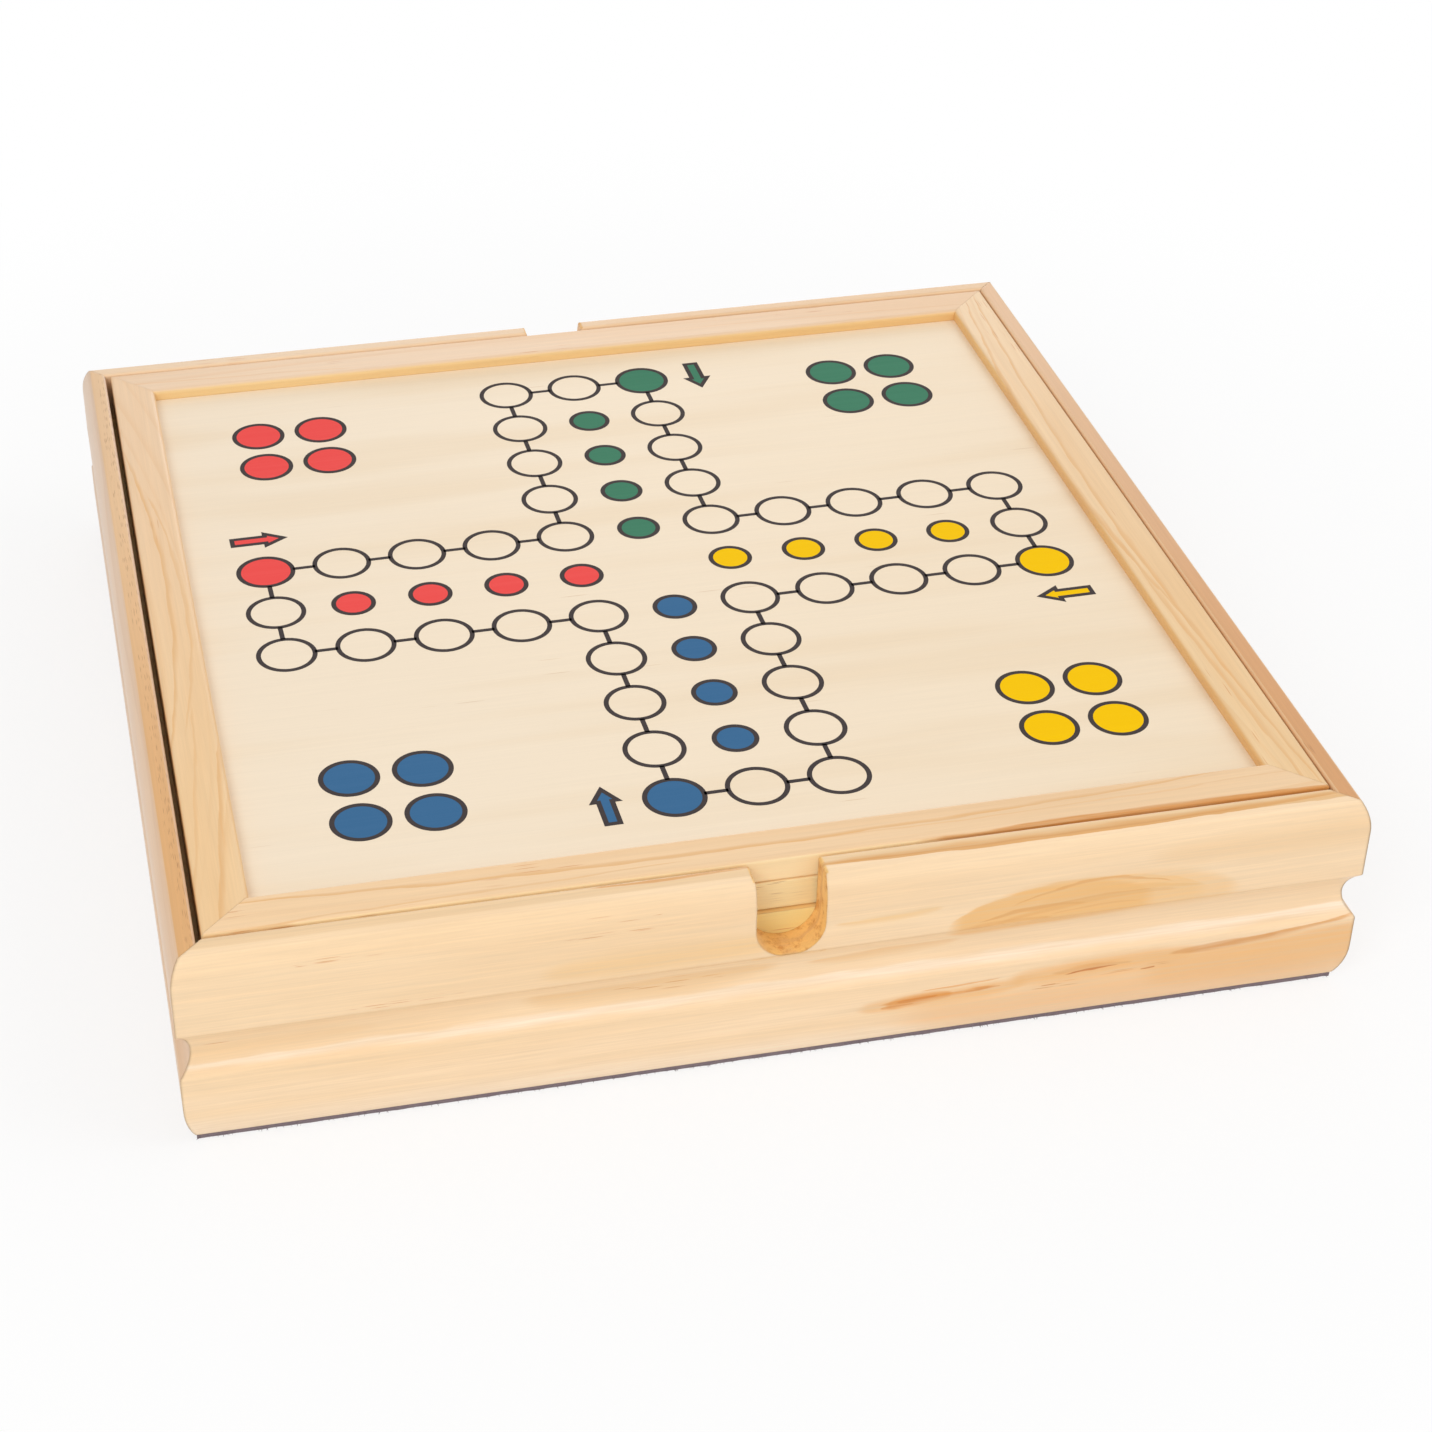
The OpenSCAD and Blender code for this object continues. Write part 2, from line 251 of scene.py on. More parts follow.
rings_group = new_group(
    "growth_rings", build_rings,
    {"Tree": 0.0, "Heart Y": 0.05, "Heart Z": 0.0, "Ring Width": 0.005, "Wander": 0.004,
     "Bow": 0.0, "Bow Middle": 0.0}, ["Late Wood"])

# %% [markdown]
# ## Fibres, resin ducts and soft clouds
# Seen close up, the face of planed pine has three finer things on it: hair-fine fibres along
# the grain, thin reddish dashes where a resin duct was cut open, and broad soft clouds where
# the varnish sank in more. Each is a noise or a cell texture stretched along the grain. The
# dashes come in clusters, so a second, coarser noise lets them through only here and there.

# %% Shader group: fibres
HAIR_STRETCH = (45.0, 2100.0, 2100.0)
STREAK_STRETCH = (14.0, 620.0, 620.0)
CLOUD_STRETCH = (6.0, 55.0, 55.0)
RAGGED_STRETCH = (55.0, 420.0, 420.0)
CLUSTER_STRETCH = (16.0, 130.0, 130.0)
DUCT_SLIMNESS = 24.0


def build_fibre(g, given):
    """Everything finer than the rings, from noises that are stretched along the grain."""
    point, number = given["Vector"], given["Tree"]

    def along(stretch, detail, roughness=0.5):
        return g.noise(moved_along(g, point, number, stretch), 1.0, detail, roughness)

    length = g.sum("DIVIDE", 1.0, given["Duct Length"])
    slim = g.product(length, DUCT_SLIMNESS)
    size = g.add("CombineXYZ", {0: length, 1: slim, 2: slim}).outputs[0]
    celled = moved_along(g, point, number, size)
    cells = g.add("TexVoronoi", {"Vector": celled, "Scale": 1.0, "Randomness": 1.0}).outputs
    dash = g.ramp(cells["Distance"], 0.42, 0.18)
    luck = g.add("SeparateColor", {0: cells["Color"]}).outputs[0]
    picked = g.sum("LESS_THAN", luck, given["Duct Share"])
    cluster = g.sum("MAXIMUM", g.ramp(along(CLUSTER_STRETCH, 1.0), 0.58, 0.66), given["Scatter"])
    return {
        "Fibre": along(HAIR_STRETCH, 3.0, 0.65),
        "Streaks": along(STREAK_STRETCH, 3.0, 0.65),
        "Ducts": g.product(dash, picked, cluster),
        "Clouds": along(CLOUD_STRETCH, 2.5, 0.55),
        "Ragged": g.sum("SUBTRACT", along(RAGGED_STRETCH, 3.0), 0.5)}


fibre_group = new_group(
    "wood_fibre", build_fibre,
    {"Tree": 0.0, "Duct Share": 0.12, "Duct Length": 0.010, "Scatter": 0.0},
    ["Fibre", "Streaks", "Ducts", "Clouds", "Ragged"])

# %% [markdown]
# ## Amber streaks and painted light bands
# Where a knot or a pocket of resin lay just under the surface, pine has a flame-shaped amber
# patch: crisp along one edge, where a ring ends, and fading away on the other. The group draws
# one such streak on a board's face. It runs from a start to an end point with a bow between
# them, fades over one distance above its line and over another below it, and thins out towards
# both ends. A roundness of 1 bends the bow like a parabola, and 0.5 like half an ellipse. On the
# front wall the same mask also lays a painted highlight, painted shade and a painted shadow line.

# %% Shader group: amber streak
THINNEST = 0.05


def build_streak(g, given):
    """The mask of a bowed line between two points, seen flat on a board's face."""
    here, start, end = (g.add("SeparateXYZ", {0: given[key]}).outputs
                        for key in ("Vector", "Start", "End"))
    run = g.sum("SUBTRACT", end[0], start[0])
    share = g.sum("DIVIDE", g.sum("SUBTRACT", here[0], start[0]), run)
    share = g.add("Clamp", {"Value": share}).outputs[0]
    rise = g.sum("SUBTRACT", end[1], start[1])
    line = g.sum("MULTIPLY_ADD", share, rise, start[1])
    arch = g.product(share, g.sum("SUBTRACT", 1.0, share), 4.0)
    bulge = g.sum("POWER", arch, given["Roundness"])
    line = g.sum("MULTIPLY_ADD", bulge, given["Bow"], line)
    girth = g.sum("MAXIMUM", g.sum("SQRT", arch), THINNEST)
    over = g.sum("DIVIDE", g.sum("SUBTRACT", here[1], line), girth)
    top = g.ramp(over, given["Above"], 0.0)
    deepest = g.product(given["Below"], -1.0)
    foot = g.ramp(over, deepest, g.product(deepest, given["Fill"]))
    ends = g.ramp(arch, 0.0, 0.35)
    return {"Mask": g.product(top, foot, ends)}


streak_group = new_group(
    "amber_streak_and_painted_light", build_streak,
    {"Start": (0.0, 0.0, 0.0), "End": (0.1, 0.0, 0.0), "Bow": 0.0, "Roundness": 1.0,
     "Above": 0.0006, "Below": 0.004, "Fill": 0.4})

# %% [markdown]
# ## Eased edges
# Every sharp edge of a varnished box is rubbed down a little, and varnish gathers there and
# looks a shade darker. The Bevel node gives the normal that a rounded edge would have. Where it
# differs from the real normal there is an edge nearby, and that difference makes the mask. The
# rounded normal itself is passed on too, so that edges catch the light softly.

# %% Shader group: eased edges
def build_edges(g, given):
    """The normal of a rounded edge, and a mask of where it leaves the real one."""
    eased = g.add("Bevel", {"Radius": given["Radius"]}, samples=4).outputs[0]
    same = g.add("VectorMath", {0: eased, 1: g.normal()}, operation="DOT_PRODUCT")
    return {"Mask": g.ramp(same.outputs["Value"], 0.995, 0.80), "Normal": eased}


edge_group = new_group("eased_edge", build_edges, {"Radius": 0.0006}, ["Mask", "Normal"])

# %% [markdown]
# ## Placing a streak
# A streak is noted down in millimetres on its board, along and across, so that it can be read
# off a picture of the board. Its line is made a little ragged by a noise, because wood never
# draws a clean curve.

# %% Streak helpers
AMBER = (243, 193, 130)
RAGGED_BY = 2.2 * MM


def streak(start, end, bow=0.0, above=0.5, below=3.0, fill=0.4, roundness=1.0, colour=AMBER,
           strength=0.8, on_top=False):
    """One streak on a board: along and across its face in millimetres, or on its top."""
    shape = {"Start": (start[0] * MM, start[1] * MM, 0.0), "End": (end[0] * MM, end[1] * MM, 0.0),
             "Bow": bow * MM, "Above": above * MM, "Below": below * MM, "Fill": fill,
             "Roundness": roundness}
    return {"shape": shape, "colour": colour, "strength": strength, "on_top": on_top}


def broad(start, end, above, below, colour, strength):
    """A wide soft patch: warmer wood, and on the front wall also painted highlight and painted
    shade.
    """
    return streak(start, end, above=above, below=below, fill=0.1, colour=colour,
                  strength=strength)


def vein(start, end, bow, above, below, colour, strength, on_top=False):
    """A narrow streak, bowed between its ends."""
    return streak(start, end, bow, above, below, colour=colour, strength=strength, on_top=on_top)


def duct_zone(start, end, above, below, fill=0.7, on_top=False):
    """A patch of a board that resin ducts may show in."""
    return streak(start, end, above=above, below=below, fill=fill, on_top=on_top)


def face_point(g, vector, ragged, on_top):
    """The point on the face that streaks are drawn on, made a little ragged."""
    spot = g.add("SeparateXYZ", {0: vector}).outputs
    across = g.sum("MULTIPLY_ADD", ragged, RAGGED_BY, spot[1 if on_top else 2])
    return g.add("CombineXYZ", {0: spot[0], 1: across}).outputs[0]


def streak_mask(g, points, one):
    """The mask of one streak; points are the point on the face and the point on the top."""
    return g.use(streak_group, Vector=points[one["on_top"]], **one["shape"])["Mask"]


print("streak helpers ready")

# %% [markdown]
# ## Pine, one material per board
# All pine on the box shares the groups above, but no two boards come off the same tree. So a
# function makes one material per board. It turns the grain to run along the board, lets the
# base tone drift from one end to the other as real boards do, and lays rings, fibres, ducts and
# streaks over it. Strips such as the flat top of a wall or the lip round a panel may have a
# tone of their own, because they were planed in another pass and take the varnish differently.
# The outer sides of rails and linings are a strip painted paler: painted light that lifts the
# shade they lie in inside the finger notch.

# %% Pine material
VARNISH = 0.38
DRIFT_REACH = 0.12
STREAK_GAIN = 2.6
STREAK_CUT = 0.3
DUCT_DEPTH = 0.6
RELIEF = 0.1 * MM


def pine(name, number, turn=0.0, tones=((248, 217, 177), (244, 208, 165)),
         line=(222, 168, 106), heart=(0.05, -0.02), ring=0.006, wander=0.004, bow=(0.0, 0.0),
         contrast=0.4, clouds=0.25, fibres=0.07, ducts=0.10, duct_tone=(206, 132, 70),
         duct_length=0.010, scatter=0.0, duct_zones=(), streaks=(), strips=(),
         edge_tone=(226, 176, 116), edge=0.3, radius=0.0006, rough=VARNISH):
    """The material of one board; number picks its tree, tones are those of its two ends."""
    material, g, shader = new_material(name)
    place = g.place()
    vector = g.add("Mapping", {"Vector": place, "Rotation": (0.0, 0.0, turn)}).outputs[0]
    rings = g.use(rings_group, Vector=vector, Tree=number, Heart_Y=heart[0], Heart_Z=heart[1],
                  Ring_Width=ring, Wander=wander, Bow=bow[0], Bow_Middle=bow[1])
    fibre = g.use(fibre_group, Vector=vector, Tree=number, Duct_Share=ducts,
                  Duct_Length=duct_length, Scatter=1.0 if duct_zones else scatter)
    edges = g.use(edge_group, Radius=radius)
    points = [face_point(g, vector, fibre["Ragged"], top) for top in (False, True)]
    drift = g.ramp(g.part(vector, 0), -DRIFT_REACH, DRIFT_REACH)
    colour = g.blend(drift, *tones)
    for mask, ends in strips:
        colour = g.blend(mask(g, place), colour, g.blend(drift, *ends))
    cloudy = g.product(g.ramp(fibre["Clouds"], 0.42, 0.72), clouds)
    years = g.product(rings["Late Wood"], contrast)
    colour = g.blend(g.sum("MAXIMUM", years, cloudy), colour, line)
    grain = g.sum("MULTIPLY_ADD", fibre["Fibre"], 0.5, g.product(fibre["Streaks"], 0.5))
    for one in streaks:
        patchy = g.sum("MULTIPLY_ADD", grain, one["strength"] * STREAK_GAIN,
                       one["strength"] * -STREAK_CUT)
        share = g.sum("MINIMUM", g.product(streak_mask(g, points, one), patchy), 1.0)
        colour = g.blend(share, colour, one["colour"])
    dashes = g.product(fibre["Ducts"], DUCT_DEPTH)
    if duct_zones:
        near = 0.0
        for one in duct_zones:
            near = g.sum("MAXIMUM", near, streak_mask(g, points, one))
        dashes = g.product(dashes, near)
    colour = g.blend(dashes, colour, duct_tone)
    colour = g.blend(g.product(edges["Mask"], edge), colour, edge_tone)
    fine = g.sum("ADD", g.product(fibre["Fibre"], 0.6), g.product(fibre["Streaks"], 0.4))
    shade = g.sum("MULTIPLY_ADD", fine, fibres * 4, 1.0 - fibres * 2)
    relief = g.sum("MULTIPLY_ADD", years, 0.3, fine)
    g.wire(shader, {
        "Base Color": g.blend(1.0, colour, shade, mode="MULTIPLY"),
        "Roughness": g.sum("MULTIPLY_ADD", fine, 0.25, rough - 0.12),
        "Normal": g.bump(relief, 0.3, RELIEF, Normal=edges["Normal"]),
        "Specular IOR Level": 0.35, "Coat Weight": 0.12, "Coat Roughness": 0.3})
    return material


def finish_node(node, material):
    """Gives a ready-made node its finish."""
    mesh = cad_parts[node].data
    mesh.materials.clear()
    mesh.materials.append(material)


print("pine ready, varnish roughness", VARNISH)

# %% [markdown]
# ## Masks on the walls
# Some parts of a wall have a tone of their own. The flat strip on top is browner than the face,
# and the sawn sides of a finger notch show end grain. A mask finds such a part by where it
# lies and by the way it faces, so it needs no painting.

# %% Wall masks
WALL_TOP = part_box("front_wall")[1].z
LAND_END = -139.8 * MM
NOTCH_HALF = 8.8 * MM
HOLLOW_TOP = 31.6 * MM


def top_strip(g, place):
    """A mask for the flat strip on top of a wall."""
    return g.product(g.ramp(g.part(g.normal(), 2), 0.90, 0.985),
                     g.ramp(g.part(place, 2), WALL_TOP - 2 * MM, WALL_TOP - MM))


def front_land(g, place):
    """The same for the front wall, where the flat strip ends before the shoulder starts."""
    ends = g.ramp(g.part(place, 1), LAND_END - 0.8 * MM, LAND_END)
    return g.product(top_strip(g, place), ends)


def facing_y(g):
    """How squarely the surface faces the front or the back, from 0 to 1."""
    return g.sum("ABSOLUTE", g.part(g.normal(), 1))


def notch_cut(g, place):
    """A mask for the sawn faces inside a finger notch, which look neither front nor back."""
    aside = g.sum("ABSOLUTE", g.part(place, 0))
    return g.product(g.ramp(aside, NOTCH_HALF + 0.6 * MM, NOTCH_HALF),
                     g.ramp(g.part(place, 2), HOLLOW_TOP - 0.4 * MM, HOLLOW_TOP),
                     g.ramp(facing_y(g), 0.90, 0.60))


def notch_specks(g, place):
    """End grain shows in the sawn faces as brown clouds with a crowd of fine specks."""
    specks = g.ramp(g.noise(place, 330.0, 5.0, 0.75), 0.47, 0.66)
    return g.product(notch_cut(g, place), specks)


print("wall masks ready, top at", round(WALL_TOP / MM, 1), "mm")

# %% [markdown]
# ## The front wall's figure
# The front is the show side. It is pale, with a flame of amber over the hollow on the right and
# dark knot streaks under it. First come the wide soft patches, among them a painted highlight
# along the foot of the hollow and painted shade inside it, then a thin painted shadow line under
# the hollow's top edge, then the flame, which is three layers with a few veins in it, then the
# knot, and last the bands on the flat top.

# %% Front wall streaks
RESIN = (206, 126, 62)
front_streaks = [
    # painted highlight: a pale band along the foot of the hollow, where its lower edge faces up
    # into the light
    broad((-170, 23.2), (220, 23.6), 1.0, 2.6, (255, 234, 208), 0.8),
    broad((-62, 37), (6, 38), 7.0, 5.0, (245, 205, 150), 0.75),
    # painted shade: darker amber patches inside the hollow, under its overhang
    broad((-66, 28.5), (0, 29.0), 1.5, 6.5, (240, 200, 148), 0.7),
    broad((-175, 26.5), (-96, 27), 3.0, 3.0, (245, 207, 158), 0.6),
    broad((86, 48), (190, 49), 7.0, 8.0, (246, 210, 164), 0.8),
    broad((-230, 3.0), (50, 4.0), 8.0, 9.0, (255, 231, 200), 0.8),
    broad((-170, 13.0), (40, 14.0), 6.0, 6.0, (254, 225, 188), 0.6),
    broad((20, 9), (230, 12), 8.0, 16.0, (245, 199, 147), 0.75),
    broad((54, 16.0), (106, 17.3), 4.5, 6.0, (240, 184, 116), 0.75),
    broad((86, 14.0), (196, 20.5), 3.4, 18.0, (241, 190, 130), 0.8),
    # painted shadow: a thin amber-brown line under the overhanging top edge of the hollow
    streak((-165, 33.0), (165, 33.2), above=0.35, below=0.9, fill=0.3, colour=(226, 178, 124),
           strength=0.5),
    streak((38, 32.6), (106, 33.4), 11.0, above=0.8, below=14, fill=0.5, roundness=0.5,
           colour=(246, 202, 143), strength=0.75),
    streak((56, 33.0), (114, 34.0), 8.4, above=4.5, below=13, fill=0.6, roundness=0.7,
           colour=(244, 200, 142), strength=0.6),
    streak((38, 32.4), (92, 34.4), 9.4, above=2.6, below=14, fill=0.8, roundness=0.55,
           colour=(240, 186, 115), strength=0.62),
    vein((54, 38.6), (96, 39.8), 4.6, 0.3, 0.9, (229, 168, 100), 0.6),
    vein((46, 35.0), (74, 37.0), 1.8, 0.5, 1.0, (228, 166, 96), 0.65),
    vein((50, 33.6), (98, 37.4), 2.4, 1.6, 1.2, (234, 176, 106), 0.55),
    vein((72, 40.8), (104, 37.6), 1.0, 0.6, 1.4, (240, 190, 124), 0.6),
    vein((58, 36.6), (92, 38.8), 1.2, 0.3, 0.7, (233, 174, 108), 0.6),
    vein((64, 34.8), (88, 35.6), 0.8, 0.3, 0.7, (233, 176, 110), 0.5),
    vein((40, 33.4), (66, 33.8), 0.8, 0.8, 0.8, (231, 172, 104), 0.5),
    broad((10, 40.5), (38, 41.5), 1.2, 1.8, (245, 206, 152), 0.8),
    broad((4, 28.0), (44, 29.0), 0.8, 3.2, (243, 200, 146), 0.7),
    broad((16, 13.2), (62, 14.6), 3.4, 3.8, (240, 188, 126), 0.8),
    vein((22, 13.4), (53, 15.0), 0.1, 0.6, 1.2, (232, 158, 80), 0.8),
    streak((24, 13.2), (42, 14.6), 0.6, above=1.5, below=3.0, fill=0.25, colour=(230, 154, 72),
           strength=0.85),
    vein((23, 12.6), (32, 12.8), 0.1, 0.3, 0.6, (222, 140, 62), 0.7),
    vein((27, 13.6), (38, 14.4), 0.2, 0.5, 0.9, (216, 130, 50), 0.75),
    vein((33, 16.2), (54, 17.2), 0.2, 0.3, 0.6, (232, 166, 98), 0.6),
    vein((44, 14.4), (54, 14.8), 0.1, 0.3, 0.6, (220, 146, 78), 0.7),
    vein((66, 16.2), (88, 16.4), 0.3, 0.8, 1.2, (230, 168, 102), 0.6),
    vein((69.5, 15.4), (84, 15.6), 0.3, 0.25, 0.45, RESIN, 0.9),
    streak((98, 16.8), (146, 22.0), -0.4, above=0.5, below=2.2, fill=0.2,
           colour=(226, 164, 98), strength=0.75),
    vein((96, 17.2), (126, 19.0), 0.2, 0.9, 1.4, (224, 158, 90), 0.7),
    vein((89.5, 13.9), (93.5, 14.1), 0.0, 0.25, 0.35, RESIN, 0.9),
    vein((64, 12.7), (68, 12.8), 0.0, 0.25, 0.35, RESIN, 0.8),
    streak((-8, -139.8), (156, -139.4), above=2.6, below=0.9, fill=0.9,
           colour=(230, 182, 122), strength=0.8, on_top=True),
    streak((2, -139.4), (147, -138.0), -2.0, above=3.4, below=0.7, fill=0.7,
           colour=(222, 166, 100), strength=0.95, on_top=True),
    vein((2, -139.4), (120, -139.4), -0.6, 0.6, 0.4, (214, 152, 84), 0.6, on_top=True),
    vein((-48, -137.0), (-3, -136.9), 0.0, 0.6, 1.2, (220, 160, 96), 0.8, on_top=True),
]
print("front wall streaks:", len(front_streaks))

# %% [markdown]
# ## The moulded walls
# The four walls are cut from one length of moulding and mitred. The sides keep the same finish
# but come from redder trees, and the left one has many short ducts near its top.

# %% Walls
QUARTER = math.pi / 2
front_ducts = [
    duct_zone((-118, 50.5), (-94, 50.5), 1.6, 1.6),
    duct_zone((-84, 49.2), (-68, 49.2), 0.7, 0.7),
    duct_zone((-54, 50.6), (-30, 51.0), 1.6, 1.6),
    duct_zone((-56, 47.4), (-24, 47.4), 0.7, 0.7),
    duct_zone((-108, 35.6), (-76, 35.4), 0.9, 0.9),
    duct_zone((-44, 28.5), (-14, 27.5), 2.2, 2.2),
    duct_zone((-142, 28.4), (-132, 28.4), 0.5, 0.5),
    duct_zone((60, 11.8), (98, 14.5), 1.6, 1.6),
]
finish_node("front_wall", pine(
    "pine_front_wall", 0.31, heart=(-0.06, 0.30), ring=0.011, wander=0.012, radius=0.0008,
    tones=((250, 219, 178), (251, 220, 180)), line=(240, 192, 132), contrast=0.10, clouds=0.22,
    fibres=0.09, edge=0.15, edge_tone=(238, 196, 142),
    ducts=0.75, duct_tone=(216, 146, 84), duct_zones=front_ducts, streaks=front_streaks,
    strips=((front_land, ((238, 205, 161), (238, 204, 158))),
            (notch_cut, [(246, 198, 122)] * 2),
            (notch_specks, [(206, 140, 66)] * 2))))
finish_node("back_wall", pine(
    "pine_back_wall", 1.7, heart=(0.10, 0.30), ring=0.010, wander=0.012, radius=0.0008,
    tones=((246, 214, 176), (242, 206, 164)), line=(228, 176, 116), contrast=0.25, ducts=0.3,
    strips=((top_strip, ((238, 208, 174), (234, 198, 158))),
            (notch_cut, [(240, 190, 118)] * 2),
            (notch_specks, [(202, 138, 70)] * 2))))
side_ducts = [
    duct_zone((-160, -139), (160, -139), 3.5, 2.5, fill=0.8, on_top=True),
    duct_zone((-118, 47), (-30, 47), 2.5, 2.0),
    duct_zone((16, 42), (96, 43), 2.0, 2.0),
    duct_zone((-70, 13), (30, 12), 2.0, 2.0),
]
finish_node("left_wall", pine(
    "pine_left_wall", 2.3, turn=QUARTER, heart=(-0.09, 0.20), ring=0.008, radius=0.0008,
    wander=0.010, tones=((226, 196, 168), (228, 192, 156)), line=(206, 156, 104), contrast=0.25,
    ducts=0.5, duct_tone=(146, 88, 46), duct_length=0.0045, duct_zones=side_ducts,
    strips=((top_strip, ((232, 194, 150), (225, 172, 112))),)))
finish_node("right_wall", pine(
    "pine_right_wall", 3.9, turn=QUARTER, heart=(0.10, 0.20), ring=0.008, radius=0.0008,
    wander=0.010, tones=((236, 200, 160), (232, 190, 144)), line=(216, 160, 102), contrast=0.3,
    ducts=0.3, duct_tone=(170, 110, 62), duct_length=0.007,
    strips=((top_strip, ((229, 188, 148), (214, 158, 106))),)))
print("walls finished: 4")

# %% [markdown]
# ## The frames round the boards
# Each board is framed by four mitred rails. Their rings run along each rail in long bowed
# lines, so the mitres show as a change of direction and not as a drawn seam. The rounded lip
# towards the panel holds more varnish and is a deeper amber. The upper board's four rails are
# matched to the photograph one by one, and the second board's come from other trees.

# %% Rail masks
RAIL_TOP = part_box("ludo_front_rail")[1].z
OUTER_EDGE = 134.0 * MM
HONEY = (228, 178, 118)


def lip_strip(g, place):
    """A mask for the rounded lip and the eased edges, which lie lower than the rail's top."""
    return g.ramp(g.part(place, 2), RAIL_TOP - 0.1 * MM, RAIL_TOP - 0.8 * MM)


def painted_light_side(g, place):
    """A mask for a rail's or a lining's outer side, painted paler than its top: painted light
    that lifts the shade in the finger notch.
    """
    depth = g.sum("ABSOLUTE", g.part(place, 1))
    return g.product(g.ramp(facing_y(g), 0.6, 0.9),
                     g.ramp(depth, OUTER_EDGE, OUTER_EDGE + 0.5 * MM))


def year_line(start, end, bow, strength=0.8, above=1.6):
    """One long amber line of late wood on top of a rail."""
    return streak(start, end, bow, above=above, below=0.45, fill=0.3, colour=HONEY,
                  strength=strength, on_top=True)


print("rail top at", round(RAIL_TOP / MM, 1), "mm")

# %% [markdown]
# ## One finish per rail
# The upper board's rails each have their own bow, tones and year lines. The second board's
# rails are one kind, from four further trees.

# %% Rails
ludo_rails = {
    "front": dict(
        tones=((243, 207, 162), (240, 205, 162)), bow=(0.36, -0.015), heart=(-0.30, 0.0),
        strips=((lip_strip, ((242, 206, 160), (236, 194, 142))),
                # the outer side is painted paler: painted light against the shade in the finger
                # notch
                (painted_light_side, [(255, 229, 180)] * 2)),
        streaks=[year_line((-150, -123.6), (150, -120.6), -7.4),
                 year_line((-138, -135.6), (-18, -131.4), 0.3, 0.5, 0.8),
                 year_line((-30, -128.5), (150, -125.6), -2.6, 0.35, 0.6),
                 streak((30, -135.4), (146, -135.4), 0.8, above=1.0, below=2.0, fill=0.6,
                        colour=(214, 150, 82), strength=0.9, on_top=True)]),
    "back": dict(
        tones=((239, 208, 175), (238, 206, 172)), bow=(-0.2, 0.02), contrast=0.25,
        heart=(0.32, 0.0), strips=((lip_strip, ((246, 210, 150), (244, 202, 138))),),
        streaks=[year_line((-150, 131.0), (-60, 127.5), 0.5, 0.35, 0.8),
                 year_line((40, 131.6), (150, 128.2), 0.4, 0.35, 0.8)]),
    "left": dict(
        tones=((238, 203, 164), (240, 203, 153)), bow=(-0.9, 0.012), heart=(0.30, 0.0),
        strips=((lip_strip, ((240, 204, 158), (240, 198, 138))),),
        streaks=[year_line((-96, -137.4), (74, -138.6), 7.2),
                 year_line((-70, -133.0), (60, -133.4), 6.6, 0.5, 1.0),
                 year_line((56, -124.6), (150, -134.0), 0.5, 0.8),
                 year_line((40, -129.6), (140, -138.6), 0.8, 0.45, 0.8)]),
    "right": dict(
        tones=((241, 209, 168), (239, 204, 155)), bow=(0.45, -0.012), heart=(-0.33, 0.0),
        strips=((lip_strip, ((236, 190, 124), (232, 182, 116))),),
        streaks=[year_line((-150, 135.4), (150, 137.4), -7.0),
                 year_line((-140, 131.8), (70, 132.6), -7.6, 0.7),
                 year_line((-4, 126.4), (150, 133.6), -0.8, 0.7)]),
}
for step, (side, figure) in enumerate(ludo_rails.items()):
    turned_by = QUARTER if side in ("left", "right") else 0.0
    finish = dict(contrast=0.28, clouds=0.3, ring=0.0052, wander=0.002, line=(224, 170, 106),
                  ducts=0.3, edge=0.12, radius=0.0004)
    finish.update(figure)
    finish_node(f"ludo_{side}_rail", pine(f"pine_ludo_{side}", 0.4 + 0.9 * step, turn=turned_by,
                                          **finish))
    finish_node(f"second_{side}_rail", pine(
        f"pine_second_{side}", 5.0 + 0.9 * step, turn=turned_by, heart=(0.25, 0.0), ring=0.005,
        wander=0.005, tones=((246, 214, 160), (245, 211, 156)), line=(216, 166, 104),
        contrast=0.4, ducts=0.35, scatter=0.3, duct_tone=(160, 102, 56), duct_length=0.006,
        # the outer side is painted paler: painted light against the shade in the finger notch
        strips=((painted_light_side, [(255, 234, 180)] * 2),), edge=0.12, radius=0.0004))
print("rails finished: 8")

# %% [markdown]
# ## Panels, linings and dividers
# The panels are thin ply with a pale basswood face: almost no rings, only fine fibres and a few
# soft clouds along the grain. The linings and dividers inside are plain sanded softwood and
# ply, a little duller because they have no varnish.

# %% Panels and inner parts
panel_finish = dict(heart=(0.0, -0.35), ring=0.020, wander=0.020,
                    tones=((244, 226, 200), (243, 223, 194)), line=(232, 204, 164),
                    contrast=0.20, clouds=0.35, fibres=0.03, ducts=0.03,
                    duct_tone=(214, 180, 138), duct_length=0.012, edge=0.0)
finish_node("ludo_panel", pine("basswood_ludo_panel", 0.0, **panel_finish))
finish_node("second_panel", pine("basswood_second_panel", 0.7, **panel_finish))
inner_pine = dict(heart=(0.3, 0.02), ring=0.004, wander=0.003, line=(206, 150, 86),
                  tones=((246, 208, 140), (244, 204, 136)), contrast=0.25, rough=0.5,
                  # the outer side is painted paler: painted light against the shade in the finger
                  # notch
                  strips=((painted_light_side, [(255, 234, 162)] * 2),))
for side in ("front", "back", "left", "right"):
    turned_by = QUARTER if side in ("left", "right") else 0.0
    finish_node(f"{side}_lining", pine(f"pine_{side}_lining", 8.0, turn=turned_by, **inner_pine))
ply = dict(heart=(0.0, 0.6), ring=0.009, wander=0.012, line=(214, 184, 138),
           tones=((232, 208, 168), (230, 205, 164)), contrast=0.6, rough=0.55)
for node in ("base_panel", "long_divider"):
    finish_node(node, pine(f"ply_{node}", 9.0, **ply))
for node in ("left_cross_divider", "right_cross_divider"):
    finish_node(node, pine(f"ply_{node}", 9.5, turn=QUARTER, **ply))
print("panels and inner parts finished")

